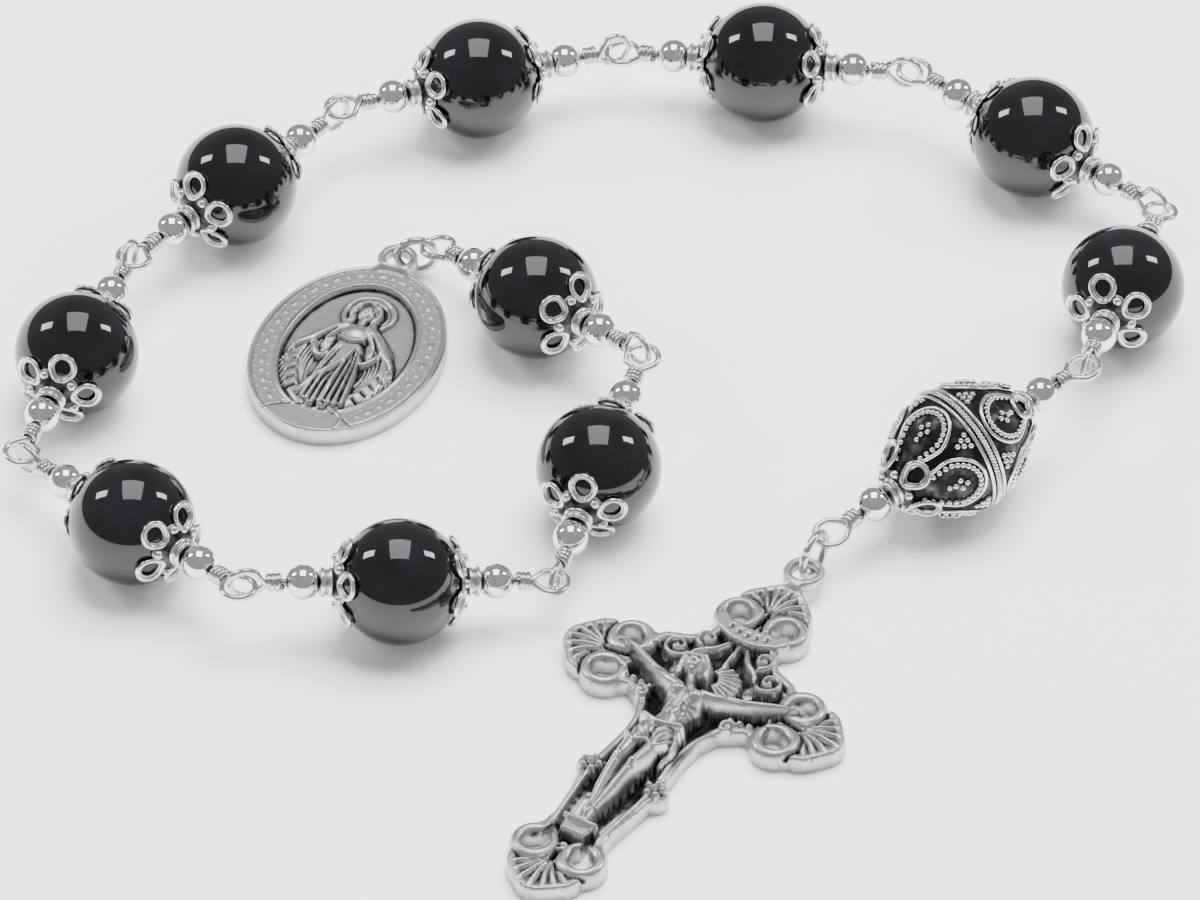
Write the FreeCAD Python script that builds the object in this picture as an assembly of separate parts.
"""One-decade rosary: a crucifix, one silver bead and ten onyx beads on wrapped wire links, and an oval medal.

Lengths are millimetres and angles are degrees. The rosary lies on the plane z = 0, with its origin under the
middle of its bounding box. Every link is a straight wire with an eye at each end. Along a link, the near end is
the one towards the crucifix and the far end is the one towards the medal.
"""

import FreeCAD
import Part

import math
import os

from FreeCAD import Placement
from FreeCAD import Rotation
from FreeCAD import Vector

# Wire of the links, and the eyes and wraps that it is bent into
WIRE_DIAMETER = 0.64
EYE_OUTER_DIAMETER = 3.8
WRAP_TURNS = 3
WRAP_PITCH = 0.66
EYE_GAP = 0.06
WRAP_TIGHTNESS = 0.97

# Onyx beads and the silver bead
BEAD_DIAMETER = 12.0
BORE_CLEARANCE = 0.05
SILVER_BEAD_DIAMETER = 12.8
SILVER_BEAD_LENGTH = 14.4
SILVER_BEAD_END_DIAMETER = 4.4
SILVER_BAND_WIDTH = 1.5
SILVER_BAND_RISE = 0.35
SILVER_BELLY = 0.55

# Bead caps: a dish, five wire petals, a grain between each two petals, and a collar
CAP_PETALS = 5
CAP_DISH_THICKNESS = 0.45
CAP_DISH_DIAMETER = 4.6
PETAL_OUTER_DIAMETER = 3.0
PETAL_WIRE_DIAMETER = 0.6
GRAIN_DIAMETER = 0.95
COLLAR_DIAMETER = 2.8
COLLAR_HEIGHT = 1.7
COLLAR_RIM_RADIUS = 0.28
COLLAR_WAIST = 0.2
PETAL_LEAN = 5.0
PETAL_LIFT = 0.15
GRAIN_LIFT = 0.3
DISH_RIM_STEP = 0.2
SILVER_PETAL_BACK = 1.0
SILVER_PETAL_OUT = 1.35
SILVER_PETAL_SLOPE = 48.0
SILVER_GRAIN_FORWARD = 0.05
SILVER_GRAIN_IN = 0.2
SILVER_GRAIN_SLOPE = 25.0

# Small round spacer beads that sit in the collars
SPACER_DIAMETER = 3.4
SPACER_SEAT_DIAMETER = 1.9
END_PLAY = 0.05

# Crucifix, with its own origin where the arms cross and +Y towards its eye
CROSS_THICKNESS = 2.2
CROSS_ARM_TIP = 15.0
CROSS_FOOT_TIP = 31.0
CROSS_HEAD_TIP = 16.2
CROSS_SHAFT_WIDTH = 7.0
CROSS_ARM_WIDTH = 5.6
CROSS_LOBE_RADIUS = 2.75
CROSS_LOBE_SPACING = 4.2
CROSS_LOBE_HOLE = 1.9
CROSS_LOBE_SETBACK = 5.1
CROSS_FAN_RADIUS = 4.6
CROSS_SLOT_WIDTH = 1.1
CROSS_FAN_ANGLE = 84.0
CROSS_FIELD_SHARE = 0.8
CROSS_FLARE = 2.6
CROSS_SLOT_INSET = 1.55
CROSS_SLOT_FOOT_GAP = 3.4
CROSS_SLOT_SHORTENING = 6.5

# Body on the crucifix, in the crucifix's own axes
CORPUS_HEIGHT = 4.6
CORPUS_BED = 0.4
CORPUS_HIP_DOWN = 9.0
CORPUS_NECK = (-0.4, -1.4)
CORPUS_ANKLE_DOWN = 19.0
TRUNK_SHARE = 0.72
ANKLE_SHARE = 0.5
NECK_SHARE = 0.95
HIP_SHARE = 1.05
HEAD_RADIUS = 1.45
HEAD_SPOT = (-0.9, 0.9)
SHOULDER_SPOT = (1.3, -2.0)
HAND_SPOT = (8.9, 1.2)
ARM_RADIUS = 0.85
WRIST_RADIUS = 0.5
HAND_RADIUS = 0.75
HAND_LIFT = 0.2
FOOTREST_WIDTH = 3.0
FOOTREST_LENGTH = 2.6
FOOTREST_RISE = 0.6
FOOTREST_FOOT = 21.4
CORPUS_UNDERSIDE = 0.8

# Medal, with its own origin in the middle of the oval and +Y towards its eye
MEDAL_LENGTH = 25.0
MEDAL_WIDTH = 18.5
MEDAL_THICKNESS = 1.9
MEDAL_RIM_WIDTH = 2.9
MEDAL_FIELD_DEPTH = 0.5
MEDAL_FIGURE_HEIGHT = 0.55
MEDAL_ROBE = [(-2.6, -9.0), (2.6, -9.0), (2.2, 2.0), (1.6, 4.4), (-1.6, 4.4), (-2.2, 2.0)]
MEDAL_SLEEVE = [(1.4, 4.2), (5.2, -1.6), (4.4, -2.8), (0.4, 1.6)]
MEDAL_SLEEVE_SHARE = 0.8
MEDAL_HEAD_RADIUS = 1.35
MEDAL_HEAD_UP = 5.7

# Eyes of the crucifix and the medal, and the jump rings through them
PENDANT_EYE_HOLE = 2.4
PENDANT_EYE_WALL = 0.8
PENDANT_EYE_THICKNESS = 1.2
CRUCIFIX_EYE_LIFT = 1.4
CRUCIFIX_EYE_ROOT = 2.0
MEDAL_EYE_LIFT = 1.25
MEDAL_EYE_ROOT = 1.2
MEDAL_EYE_STAND_OFF = 0.1
EYE_ROOT_SHARE = 0.8
RING_WIRE_DIAMETER = 0.8
CRUCIFIX_RING_DIAMETER = 5.2
MEDAL_RING_DIAMETER = 4.6
RING_GAP = 0.08

# The lie of the rosary on the table, from the crucifix to the medal. Headings turn anticlockwise from +X.
CRUCIFIX_HEADING = 58.0
CRUCIFIX_RING_HEADING = 60.0
LINK_HEADINGS = [38.0, 72.5, 143.5, 168.5, 200.5, 228.0, 251.0, 316.0, 6.5, 73.0, 133.0]
MEDAL_RING_HEADING = 182.0
MEDAL_HEADING = 70.0
RING_RISE = 70.0
PIN_RISE = 60.0

# Values that follow
WIRE_RADIUS = WIRE_DIAMETER / 2
EYE_RADIUS = (EYE_OUTER_DIAMETER - WIRE_DIAMETER) / 2
WRAP_RADIUS = WIRE_DIAMETER * WRAP_TIGHTNESS
BORE_RADIUS = WIRE_RADIUS + BORE_CLEARANCE
BEAD_RADIUS = BEAD_DIAMETER / 2
SPACER_RADIUS = SPACER_DIAMETER / 2
RING_WIRE_RADIUS = RING_WIRE_DIAMETER / 2
WRAP_LENGTH = WRAP_TURNS * WRAP_PITCH
LINK_COUNT = len(LINK_HEADINGS)
UP = Vector(0, 0, 1)
CROSSWAYS = Vector(1, 0, 0)
ALONG = Vector(0, 1, 0)


def flat_direction(heading):
    """Unit vector in the table plane at a heading."""
    angle = math.radians(heading)
    return Vector(math.cos(angle), math.sin(angle), 0)


def left_of(heading):
    """Unit vector in the table plane, square to a heading and to its left."""
    return flat_direction(heading + 90)


def link_direction(heading, tilt):
    """Unit vector along a link that rises by the tilt towards its far end."""
    rise = math.radians(tilt)
    return flat_direction(heading) * math.cos(rise) + UP * math.sin(rise)


def is_silver(index):
    """True for the link that carries the silver bead."""
    return index == 0


def bead_height(index):
    """Half the length of a link's bead, measured along its wire."""
    if is_silver(index):
        return SILVER_BEAD_LENGTH / 2
    return BEAD_RADIUS


def bead_half_width(index):
    """Height of a link's bead centre above the table."""
    if is_silver(index):
        return SILVER_BEAD_DIAMETER / 2
    return BEAD_RADIUS


def spacer_offset(index):
    """Distance from a bead's centre to the centre of each of its spacers."""
    seat_rise = math.sqrt(SPACER_RADIUS ** 2 - (SPACER_SEAT_DIAMETER / 2) ** 2)
    return bead_height(index) + COLLAR_HEIGHT + seat_rise


def wrap_offset(index):
    """Distance from a bead's centre to the nearer end of each wrap."""
    bore_end = math.sqrt(SPACER_RADIUS ** 2 - BORE_RADIUS ** 2)
    return spacer_offset(index) + bore_end + END_PLAY


def eye_offset(index):
    """Distance from a bead's centre to the centre of each eye."""
    return wrap_offset(index) + WRAP_LENGTH + EYE_RADIUS


def torus_at(centre, normal, radius, wire_radius):
    """Round wire ring about a centre."""
    return Part.makeTorus(radius, wire_radius, centre, normal)


# Lie of the rosary


def eye_wall_centre():
    """Middle of a pendant eye's wall, measured from the middle of its hole."""
    return (PENDANT_EYE_HOLE + PENDANT_EYE_WALL) / 2


def ring_mean_radius(outer_diameter):
    """Radius of a jump ring's centre line."""
    return (outer_diameter - RING_WIRE_DIAMETER) / 2


def wall_reach(outer_diameter):
    """Distance that a jump ring's centre may lie from the middle of the pendant eye's wall inside it."""
    corner = math.hypot(PENDANT_EYE_WALL, PENDANT_EYE_THICKNESS) / 2
    return ring_mean_radius(outer_diameter) - RING_WIRE_RADIUS - RING_GAP - corner


def pin_reach(outer_diameter):
    """Distance that a jump ring's centre may lie from the wire of the link's eye inside it."""
    return ring_mean_radius(outer_diameter) - RING_WIRE_RADIUS - RING_GAP - WIRE_RADIUS


def climb(reach, rise, heading):
    """Step of a given length that climbs at an angle along a heading."""
    angle = math.radians(rise)
    return flat_direction(heading) * (reach * math.cos(angle)) + UP * (reach * math.sin(angle))


def wall_height(eye_lift):
    """Height of the middle of a pendant eye's wall above the table."""
    return eye_lift + PENDANT_EYE_THICKNESS / 2


def ring_pin_height(eye_lift, outer_diameter):
    """Height of the link wire that a pendant's jump ring hangs on."""
    ring_climb = wall_reach(outer_diameter) * math.sin(math.radians(RING_RISE))
    pin_climb = pin_reach(outer_diameter) * math.sin(math.radians(PIN_RISE))
    return wall_height(eye_lift) + ring_climb + pin_climb


def link_tilts():
    """Tilt of every link: each bead rests on the table, and the joints between them are high and low in turn.

    The first link starts at the height of the crucifix's ring and the last one ends at the height of the medal's
    ring. What is left over is shared out as the same small step in the slack of every joint between two links.
    """
    first_pin = ring_pin_height(CRUCIFIX_EYE_LIFT, CRUCIFIX_RING_DIAMETER)
    last_pin = ring_pin_height(MEDAL_EYE_LIFT, MEDAL_RING_DIAMETER)
    last = LINK_COUNT - 1
    turn = math.radians(MEDAL_RING_HEADING - LINK_HEADINGS[last])
    first_rise = (bead_half_width(0) - first_pin) / (1 + EYE_RADIUS / eye_offset(0))
    last_rise = (last_pin - bead_half_width(last)) / (1 + EYE_RADIUS * math.cos(turn) / eye_offset(last))
    level_change = bead_half_width(1) - bead_half_width(0)
    step = (last_rise - (first_rise - level_change) * (-1) ** last) / last
    rises = [first_rise]
    for index in range(1, LINK_COUNT):
        change = level_change if index == 1 else 0.0
        rises.append(change - rises[-1] + step * (-1) ** (index - last))
    return [math.degrees(math.asin(rise / eye_offset(index))) for index, rise in enumerate(rises)]


def lie_of_the_rosary():
    """Places of the pieces and of the joints, with the crucifix's own origin as the zero.

    Returns a dictionary of placements, and a list of joints as (name, parent, child, point, axis).
    """
    places = {}
    joints = []
    tilts = link_tilts()

    # the crucifix lies flat, and its ring stands across the wall of its eye
    places["crucifix"] = Placement(Vector(0, 0, 0), Rotation(UP, CRUCIFIX_HEADING - 90))
    eye_hole = Vector(0, crucifix_eye_offset(), wall_height(CRUCIFIX_EYE_LIFT))
    hole = places["crucifix"].multVec(eye_hole)
    wall = hole + flat_direction(CRUCIFIX_RING_HEADING) * eye_wall_centre()
    centre = wall + climb(wall_reach(CRUCIFIX_RING_DIAMETER), RING_RISE, CRUCIFIX_RING_HEADING)
    places["crucifix_ring"] = Placement(centre, Rotation(UP, CRUCIFIX_RING_HEADING))
    joints.append(("crucifix_ring_swing", "crucifix", "crucifix_ring", wall, left_of(CRUCIFIX_RING_HEADING)))

    # the first link's flat near eye holds the ring, with its near wire inside the ring
    pin = centre + climb(pin_reach(CRUCIFIX_RING_DIAMETER), PIN_RISE, CRUCIFIX_RING_HEADING)
    bead = pin + link_direction(LINK_HEADINGS[0], tilts[0]) * (EYE_RADIUS + eye_offset(0))
    joints.append(("link_00_swing", "crucifix_ring", link_name(0), pin, left_of(LINK_HEADINGS[0])))

    for index in range(LINK_COUNT):
        heading = LINK_HEADINGS[index]
        if index > 0:
            bead = next_bead(pin, index, tilts[index])
            joint = f"link_{index:02d}_swing"
            joints.append((joint, link_name(index - 1), link_name(index), pin, left_of(heading)))
        places[link_name(index)] = Placement(bead, Rotation(UP, heading).multiply(Rotation(ALONG, -tilts[index])))
        following = (LINK_HEADINGS + [MEDAL_RING_HEADING])[index + 1]
        pin = far_pin(bead, index, tilts[index], following)
        axis = link_direction(heading, tilts[index])
        joints.append((f"bead_{index:02d}_spin", link_name(index), f"{link_name(index)}_stack", bead, axis))

    # the medal's ring hangs in the last far eye, and stands across the wall of the medal's eye
    centre = pin + climb(pin_reach(MEDAL_RING_DIAMETER), -PIN_RISE, MEDAL_RING_HEADING)
    places["medal_ring"] = Placement(centre, Rotation(UP, MEDAL_RING_HEADING))
    way = left_of(MEDAL_RING_HEADING)
    joints.append(("medal_ring_swing", link_name(LINK_COUNT - 1), "medal_ring", pin, way))
    wall = centre + climb(wall_reach(MEDAL_RING_DIAMETER), -RING_RISE, MEDAL_RING_HEADING)
    hole = wall + flat_direction(MEDAL_RING_HEADING) * eye_wall_centre()
    middle = hole - flat_direction(MEDAL_HEADING) * medal_eye_offset()
    middle.z = 0
    places["medal"] = Placement(middle, Rotation(UP, MEDAL_HEADING - 90))
    joints.append(("medal_swing", "medal_ring", "medal", wall, way))
    return places, joints


def far_pin(bead, index, tilt, following):
    """Point on the centre line of a link's far eye that the next piece hangs on.

    It is where a line at the following heading leaves the eye, in the eye's own plane.
    """
    heading = LINK_HEADINGS[index]
    direction = link_direction(heading, tilt)
    turn = math.radians(following - heading)
    eye = bead + direction * eye_offset(index)
    return eye + direction * (EYE_RADIUS * math.cos(turn)) + left_of(heading) * (EYE_RADIUS * math.sin(turn))


def next_bead(pin, index, tilt):
    """Bead centre of a link whose upright near eye hangs on a pin of the link before it."""
    direction = link_direction(LINK_HEADINGS[index], tilt)
    eye_height = bead_half_width(index) - eye_offset(index) * direction.z
    reach = EYE_RADIUS - WIRE_DIAMETER - EYE_GAP
    offset = pin.z - eye_height
    eye = pin - flat_direction(LINK_HEADINGS[index]) * math.sqrt(max(reach ** 2 - offset ** 2, 0.0))
    eye.z = eye_height
    return eye + direction * eye_offset(index)


# Pieces of a link, about the bead's centre with the wire along X


def wire_solid(index):
    """Wire with an eye at each end and its wraps, as one bent piece."""
    start = wrap_offset(index)
    eye = eye_offset(index)
    wire = Part.makeCylinder(WIRE_RADIUS, 2 * (eye - EYE_RADIUS), Vector(EYE_RADIUS - eye, 0, 0), CROSSWAYS)
    shapes = []
    for side in (-1, 1):
        for turn in range(WRAP_TURNS):
            centre = Vector(side * (start + WIRE_RADIUS + turn * WRAP_PITCH), 0, 0)
            shapes.append(torus_at(centre, CROSSWAYS, WRAP_RADIUS, WIRE_RADIUS))
        upright = side < 0 and not is_silver(index)
        normal = ALONG if upright else UP
        shapes.append(torus_at(Vector(side * eye, 0, 0), normal, EYE_RADIUS, WIRE_RADIUS))
    return wire.multiFuse(shapes)


def bore(length):
    """Straight hole along the wire."""
    return Part.makeCylinder(BORE_RADIUS, length, Vector(-length / 2, 0, 0), CROSSWAYS)


def round_bead(radius):
    """Round bead with its bore, turned about the wire."""
    half = math.sqrt(radius ** 2 - BORE_RADIUS ** 2)
    near = Vector(-half, BORE_RADIUS, 0)
    far = Vector(half, BORE_RADIUS, 0)
    outline = [Part.Arc(near, Vector(0, radius, 0), far).toShape(), Part.LineSegment(far, near).toShape()]
    return Part.Face(Part.Wire(outline)).revolve(Vector(0, 0, 0), CROSSWAYS, 360)


def silver_bead_solid(bored=True):
    """Rounded double cone with a raised band round its middle."""
    half = SILVER_BEAD_LENGTH / 2
    end = SILVER_BEAD_END_DIAMETER / 2
    wide = SILVER_BEAD_DIAMETER / 2
    edge = SILVER_BAND_WIDTH / 2
    shoulder = wide - SILVER_BAND_RISE
    belly = Vector((half + edge) / 2, (end + shoulder) / 2 + SILVER_BELLY, 0)
    outline = [
        Part.LineSegment(Vector(-half, 0, 0), Vector(-half, end, 0)).toShape(),
        Part.Arc(Vector(-half, end, 0), Vector(-belly.x, belly.y, 0), Vector(-edge, shoulder, 0)).toShape(),
        Part.Arc(Vector(-edge, shoulder, 0), Vector(0, wide, 0), Vector(edge, shoulder, 0)).toShape(),
        Part.Arc(Vector(edge, shoulder, 0), belly, Vector(half, end, 0)).toShape(),
        Part.LineSegment(Vector(half, end, 0), Vector(half, 0, 0)).toShape(),
        Part.LineSegment(Vector(half, 0, 0), Vector(-half, 0, 0)).toShape(),
    ]
    solid = Part.Face(Part.Wire(outline)).revolve(Vector(0, 0, 0), CROSSWAYS, 360)
    if not bored:
        return solid
    return solid.cut(bore(2 * SILVER_BEAD_LENGTH))


def cap_seat(index):
    """Where a cap's petals and grains sit, as (distance along the wire, distance from it, slope) for each."""
    petal_reach = PETAL_OUTER_DIAMETER / 2 + CAP_DISH_DIAMETER / 4
    if is_silver(index):
        half = SILVER_BEAD_LENGTH / 2
        end = SILVER_BEAD_END_DIAMETER / 2
        petal = (half - SILVER_PETAL_BACK, end + SILVER_PETAL_OUT, SILVER_PETAL_SLOPE)
        grain = (half + SILVER_GRAIN_FORWARD, end - SILVER_GRAIN_IN, SILVER_GRAIN_SLOPE)
        return petal, grain
    petal_slope = math.degrees(petal_reach / BEAD_RADIUS) + PETAL_LEAN
    grain_slope = math.degrees(CAP_DISH_DIAMETER / 2 / BEAD_RADIUS)
    spots = []
    for slope, lift in ((petal_slope, PETAL_LIFT), (grain_slope, GRAIN_LIFT)):
        angle = math.radians(slope)
        radius = BEAD_RADIUS + lift
        spots.append((radius * math.cos(angle), radius * math.sin(angle), slope))
    return spots[0], spots[1]


def cap_solid(index):
    """Cap on the far side of a bead: dish, petals, grains and collar, hollowed to fit the bead and the spacer."""
    height = bead_height(index)
    petal_spot, grain_spot = cap_seat(index)
    collar_top = height + COLLAR_HEIGHT
    dish_edge = CAP_DISH_DIAMETER / 2
    cone_foot = petal_spot[0] + DISH_RIM_STEP
    cap = Part.makeCone(dish_edge, COLLAR_DIAMETER / 2, height + CAP_DISH_THICKNESS - cone_foot,
                        Vector(cone_foot, 0, 0), CROSSWAYS)
    neck_start = height + CAP_DISH_THICKNESS
    neck = Part.makeCylinder(COLLAR_DIAMETER / 2 - COLLAR_WAIST, collar_top - neck_start,
                             Vector(neck_start, 0, 0), CROSSWAYS)
    shapes = [neck]
    rim_reach = COLLAR_DIAMETER / 2 - COLLAR_RIM_RADIUS
    for along in (neck_start + COLLAR_RIM_RADIUS, collar_top - COLLAR_RIM_RADIUS):
        shapes.append(torus_at(Vector(along, 0, 0), CROSSWAYS, rim_reach, COLLAR_RIM_RADIUS))
    wire_radius = PETAL_WIRE_DIAMETER / 2
    petal_radius = PETAL_OUTER_DIAMETER / 2 - wire_radius
    for petal in range(CAP_PETALS):
        about = Rotation(CROSSWAYS, 360.0 * petal / CAP_PETALS)
        between = Rotation(CROSSWAYS, 360.0 * (petal + 0.5) / CAP_PETALS)
        along, out, slope = petal_spot
        angle = math.radians(slope)
        centre = about.multVec(Vector(along, 0, out))
        normal = about.multVec(Vector(math.cos(angle), 0, math.sin(angle)))
        shapes.append(torus_at(centre, normal, petal_radius, wire_radius))
        along, out, slope = grain_spot
        shapes.append(Part.makeSphere(GRAIN_DIAMETER / 2, between.multVec(Vector(along, 0, out))))
    cap = cap.multiFuse(shapes)
    cap = cap.cut(Part.makeSphere(BEAD_RADIUS) if not is_silver(index) else silver_bead_solid(False))
    cap = cap.cut(Part.makeSphere(SPACER_RADIUS, Vector(spacer_offset(index), 0, 0)))
    cap = cap.cut(bore(4 * height))
    return largest_solid(cap)


def largest_solid(shape):
    """The one piece that is left when crumbs are dropped."""
    return max(shape.Solids, key=lambda solid: solid.Volume)


def spacer_solid(index):
    """Small round bead on the far side, with its bore."""
    spacer = round_bead(SPACER_RADIUS)
    spacer.translate(Vector(spacer_offset(index), 0, 0))
    return spacer


def both_ends(solid):
    """A piece at the far end of a link and its twin at the near end, as two separate solids."""
    twin = solid.copy()
    twin.rotate(Vector(0, 0, 0), UP, 180)
    return Part.makeCompound([solid, twin])


# Rings and pendants


def ring_solid(outer_diameter):
    """Jump ring about its own origin, with its axis along Y."""
    return torus_at(Vector(0, 0, 0), ALONG, ring_mean_radius(outer_diameter), RING_WIRE_RADIUS)


def crucifix_eye_offset():
    """Distance from where the crucifix's arms cross to the middle of its eye's hole."""
    return CROSS_HEAD_TIP + PENDANT_EYE_HOLE / 2 + PENDANT_EYE_WALL


def medal_eye_offset():
    """Distance from the medal's middle to the middle of its eye's hole."""
    return MEDAL_LENGTH / 2 + PENDANT_EYE_HOLE / 2 + MEDAL_EYE_STAND_OFF


def pendant_eye(offset, body_edge, lift):
    """Flat eye held clear of the table, with a root that runs back to the pendant's body."""
    outer = PENDANT_EYE_HOLE / 2 + PENDANT_EYE_WALL
    eye = Part.makeCylinder(outer, PENDANT_EYE_THICKNESS, Vector(0, offset, lift))
    root_length = offset - body_edge
    root_half = outer * EYE_ROOT_SHARE
    root = Part.makeBox(2 * root_half, root_length, PENDANT_EYE_THICKNESS, Vector(-root_half, body_edge, lift))
    hole = Part.makeCylinder(PENDANT_EYE_HOLE / 2, 3 * PENDANT_EYE_THICKNESS,
                             Vector(0, offset, lift - PENDANT_EYE_THICKNESS))
    return eye.fuse(root).cut(hole)


def plate(points, height):
    """Flat plate on z = 0 with a straight-sided outline."""
    corners = [Vector(x, y, 0) for x, y in points]
    return Part.Face(Part.makePolygon(corners + corners[:1])).extrude(UP * height)


def cross_end(tip, turned):
    """Trefoil end of the crucifix: two pierced lobes and a fan, reaching out along +Y before it is turned."""
    row = tip - CROSS_LOBE_SETBACK
    half = CROSS_LOBE_SPACING / 2
    shapes = []
    for side in (-1, 1):
        shapes.append(Part.makeCylinder(CROSS_LOBE_RADIUS, CROSS_THICKNESS, Vector(side * half, row, 0)))
    fan_centre = Vector(0, tip - CROSS_FAN_RADIUS, 0)
    fan = Part.makeCylinder(CROSS_FAN_RADIUS, CROSS_THICKNESS * CROSS_FIELD_SHARE, fan_centre, UP,
                            CROSS_FAN_ANGLE)
    fan.rotate(fan_centre, UP, 90 - CROSS_FAN_ANGLE / 2)
    end = fan.multiFuse(shapes)
    for side in (-1, 1):
        end = end.cut(Part.makeCylinder(CROSS_LOBE_HOLE / 2, 3 * CROSS_THICKNESS,
                                        Vector(side * half, row, -CROSS_THICKNESS)))
    end.rotate(Vector(0, 0, 0), UP, turned)
    return end


def corpus_solid():
    """Plain body on the cross: head, trunk, cloth, legs and arms, bedded in the plate."""
    floor = CROSS_THICKNESS - CORPUS_BED
    trunk_radius = (CORPUS_HEIGHT - floor) * TRUNK_SHARE
    trunk_middle = CORPUS_HEIGHT - trunk_radius
    hip = Vector(0, -CORPUS_HIP_DOWN, trunk_middle)
    neck = Vector(*CORPUS_NECK, trunk_middle)
    ankle = Vector(0, -CORPUS_ANKLE_DOWN, floor)
    shapes = [
        limb(hip, neck, trunk_radius, trunk_radius * NECK_SHARE),
        limb(ankle, hip, trunk_radius * ANKLE_SHARE, trunk_radius * HIP_SHARE),
        Part.makeSphere(HEAD_RADIUS, Vector(*HEAD_SPOT, CORPUS_HEIGHT - HEAD_RADIUS)),
        Part.makeBox(FOOTREST_WIDTH, FOOTREST_LENGTH, floor + FOOTREST_RISE,
                     Vector(-FOOTREST_WIDTH / 2, -FOOTREST_FOOT, 0)),
    ]
    for side in (-1, 1):
        shoulder = Vector(side * SHOULDER_SPOT[0], SHOULDER_SPOT[1], trunk_middle)
        hand = Vector(side * HAND_SPOT[0], HAND_SPOT[1], floor + HAND_LIFT)
        shapes.append(limb(shoulder, hand, ARM_RADIUS, WRIST_RADIUS))
        shapes.append(Part.makeSphere(HAND_RADIUS, hand))
    body = shapes[0].multiFuse(shapes[1:])
    span = 2 * CROSS_FOOT_TIP
    under = Part.makeBox(2 * span, 2 * span, span, Vector(-span, -span, CORPUS_UNDERSIDE - span))
    return body.cut(under)


def limb(start, end, start_radius, end_radius):
    """Round tapering limb between two points."""
    way = end.sub(start)
    if abs(start_radius - end_radius) < 1e-6:
        return Part.makeCylinder(start_radius, way.Length, start, way)
    return Part.makeCone(start_radius, end_radius, way.Length, start, way)


def crucifix_outline():
    """Corners of the crucifix's plain plate, with a slanting flare between the shaft and each arm."""
    shaft = CROSS_SHAFT_WIDTH / 2
    arm = CROSS_ARM_WIDTH / 2
    arm_root = CROSS_ARM_TIP - CROSS_LOBE_SETBACK
    head_root = CROSS_HEAD_TIP - CROSS_LOBE_SETBACK
    foot_root = CROSS_FOOT_TIP - CROSS_LOBE_SETBACK
    right = [(shaft, -foot_root), (shaft, -arm - CROSS_FLARE), (shaft + CROSS_FLARE, -arm), (arm_root, -arm),
             (arm_root, arm), (shaft + CROSS_FLARE, arm), (shaft, arm + CROSS_FLARE), (shaft, head_root)]
    return right + [(-x, y) for x, y in reversed(right)]


def crucifix_solid():
    """Crucifix casting: pierced plate with trefoil ends, a body in relief, and an eye at its head."""
    body = plate(crucifix_outline(), CROSS_THICKNESS * CROSS_FIELD_SHARE)
    ends = [cross_end(CROSS_HEAD_TIP, 0), cross_end(CROSS_ARM_TIP, 90),
            cross_end(CROSS_FOOT_TIP, 180), cross_end(CROSS_ARM_TIP, 270)]
    eye = pendant_eye(crucifix_eye_offset(), CROSS_HEAD_TIP - CRUCIFIX_EYE_ROOT, CRUCIFIX_EYE_LIFT)
    cross = body.multiFuse(ends + [corpus_solid(), eye])
    foot_root = CROSS_FOOT_TIP - CROSS_LOBE_SETBACK
    slot_length = foot_root - CROSS_ARM_WIDTH / 2 - CROSS_FLARE - CROSS_SLOT_SHORTENING
    slot_middle = CROSS_SHAFT_WIDTH / 2 - CROSS_SLOT_INSET
    for side in (-1, 1):
        corner = Vector(side * slot_middle - CROSS_SLOT_WIDTH / 2,
                        CROSS_SLOT_FOOT_GAP - foot_root, -CROSS_THICKNESS)
        cross = cross.cut(Part.makeBox(CROSS_SLOT_WIDTH, slot_length, 3 * CROSS_THICKNESS, corner))
        for turned in (0, 90, 180, 270):
            hole = Part.makeCylinder(CROSS_LOBE_HOLE / 2, 3 * CROSS_THICKNESS,
                                     Vector(side * CROSS_LOBE_SPACING / 2, end_row(turned), -CROSS_THICKNESS))
            hole.rotate(Vector(0, 0, 0), UP, turned)
            cross = cross.cut(hole)
    return largest_solid(cross)


def end_row(turned):
    """Distance from the crossing to the lobe holes of the end at this turn."""
    tips = {0: CROSS_HEAD_TIP, 90: CROSS_ARM_TIP, 180: CROSS_FOOT_TIP, 270: CROSS_ARM_TIP}
    return tips[turned] - CROSS_LOBE_SETBACK


def oval(length, width, height, bottom):
    """Oval disc with its long side along Y."""
    curve = Part.Ellipse(Vector(0, length / 2, bottom), Vector(width / 2, 0, bottom), Vector(0, 0, bottom))
    return Part.Face(Part.Wire([curve.toShape()])).extrude(UP * height)


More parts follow.
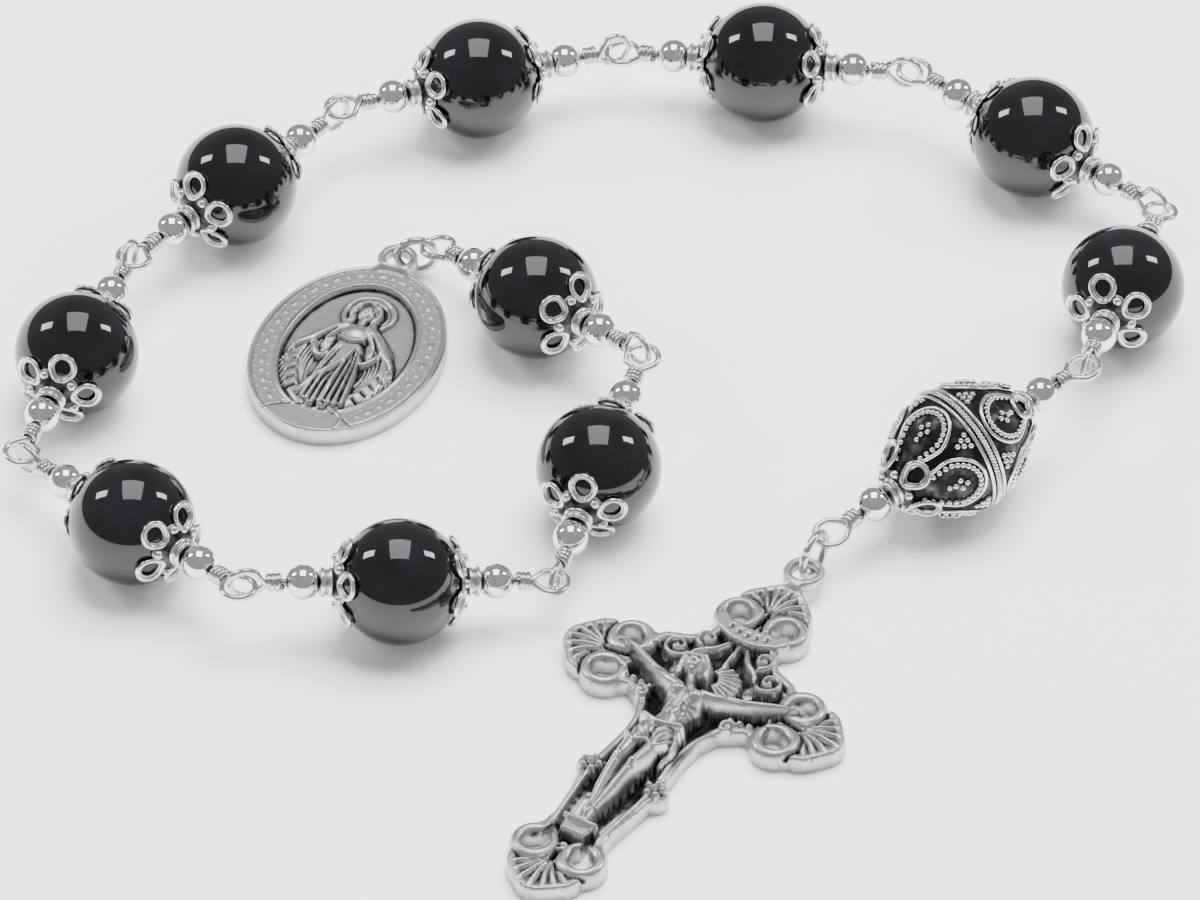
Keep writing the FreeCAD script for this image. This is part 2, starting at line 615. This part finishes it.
def medal_solid():
    """Oval medal: raised rim, sunken field, a standing robed figure in relief, and an eye."""
    disc = oval(MEDAL_LENGTH, MEDAL_WIDTH, MEDAL_THICKNESS, 0)
    field_level = MEDAL_THICKNESS - MEDAL_FIELD_DEPTH
    field = oval(MEDAL_LENGTH - 2 * MEDAL_RIM_WIDTH, MEDAL_WIDTH - 2 * MEDAL_RIM_WIDTH,
                 MEDAL_FIELD_DEPTH * 2, field_level)
    medal = disc.cut(field)
    figure_top = field_level + MEDAL_FIGURE_HEIGHT
    head = Part.makeCylinder(MEDAL_HEAD_RADIUS, figure_top, Vector(0, MEDAL_HEAD_UP, 0))
    eye = pendant_eye(medal_eye_offset(), MEDAL_LENGTH / 2 - MEDAL_EYE_ROOT, MEDAL_EYE_LIFT)
    shapes = [plate(MEDAL_ROBE, figure_top), head, eye]
    for side in (-1, 1):
        sleeve = [(side * x, y) for x, y in MEDAL_SLEEVE]
        shapes.append(plate(sleeve, field_level + MEDAL_FIGURE_HEIGHT * MEDAL_SLEEVE_SHARE))
    return largest_solid(medal.multiFuse(shapes))


def node_shapes():
    """Every node's shape in its place, still measured from the crucifix's own origin."""
    places, _ = lie_of_the_rosary()
    nodes = {
        "crucifix": placed(crucifix_solid(), places["crucifix"]),
        "crucifix_ring": placed(ring_solid(CRUCIFIX_RING_DIAMETER), places["crucifix_ring"]),
        "medal_ring": placed(ring_solid(MEDAL_RING_DIAMETER), places["medal_ring"]),
        "medal": placed(medal_solid(), places["medal"]),
    }
    kits = [link_kit(0), link_kit(1)]
    for index in range(LINK_COUNT):
        for part_name, solid in kits[min(index, 1)].items():
            nodes[f"{link_name(index)}_{part_name}"] = placed(solid, places[link_name(index)])
    return nodes


def link_name(index):
    """Name that the nodes of a link share."""
    return "silver" if is_silver(index) else f"onyx_{index:02d}"


def link_kit(index):
    """The pieces of one link, in the link's own axes."""
    bead = silver_bead_solid() if is_silver(index) else round_bead(BEAD_RADIUS)
    return {
        "wire": wire_solid(index),
        "bead": bead,
        "caps": both_ends(cap_solid(index)),
        "spacers": both_ends(spacer_solid(index)),
    }


def placed(solid, placement):
    """A copy of a shape moved to its place."""
    copy = solid.copy()
    copy.Placement = placement.multiply(copy.Placement)
    return copy


def middle_of(nodes):
    """Point on the table under the middle of the bounding box."""
    box = FreeCAD.BoundBox()
    for shape in nodes.values():
        box.add(shape.optimalBoundingBox())
    return Vector((box.XMin + box.XMax) / 2, (box.YMin + box.YMax) / 2, 0)


def main():
    """Build every node about the rosary's own origin and write one STEP file for each."""
    nodes = node_shapes()
    middle = middle_of(nodes)
    os.makedirs("parts", exist_ok=True)
    for name, shape in nodes.items():
        shape.translate(-middle)
        shape.exportStep(f"parts/{name}.step")
    print(len(nodes), "nodes written")


if __name__ == "__main__":
    main()
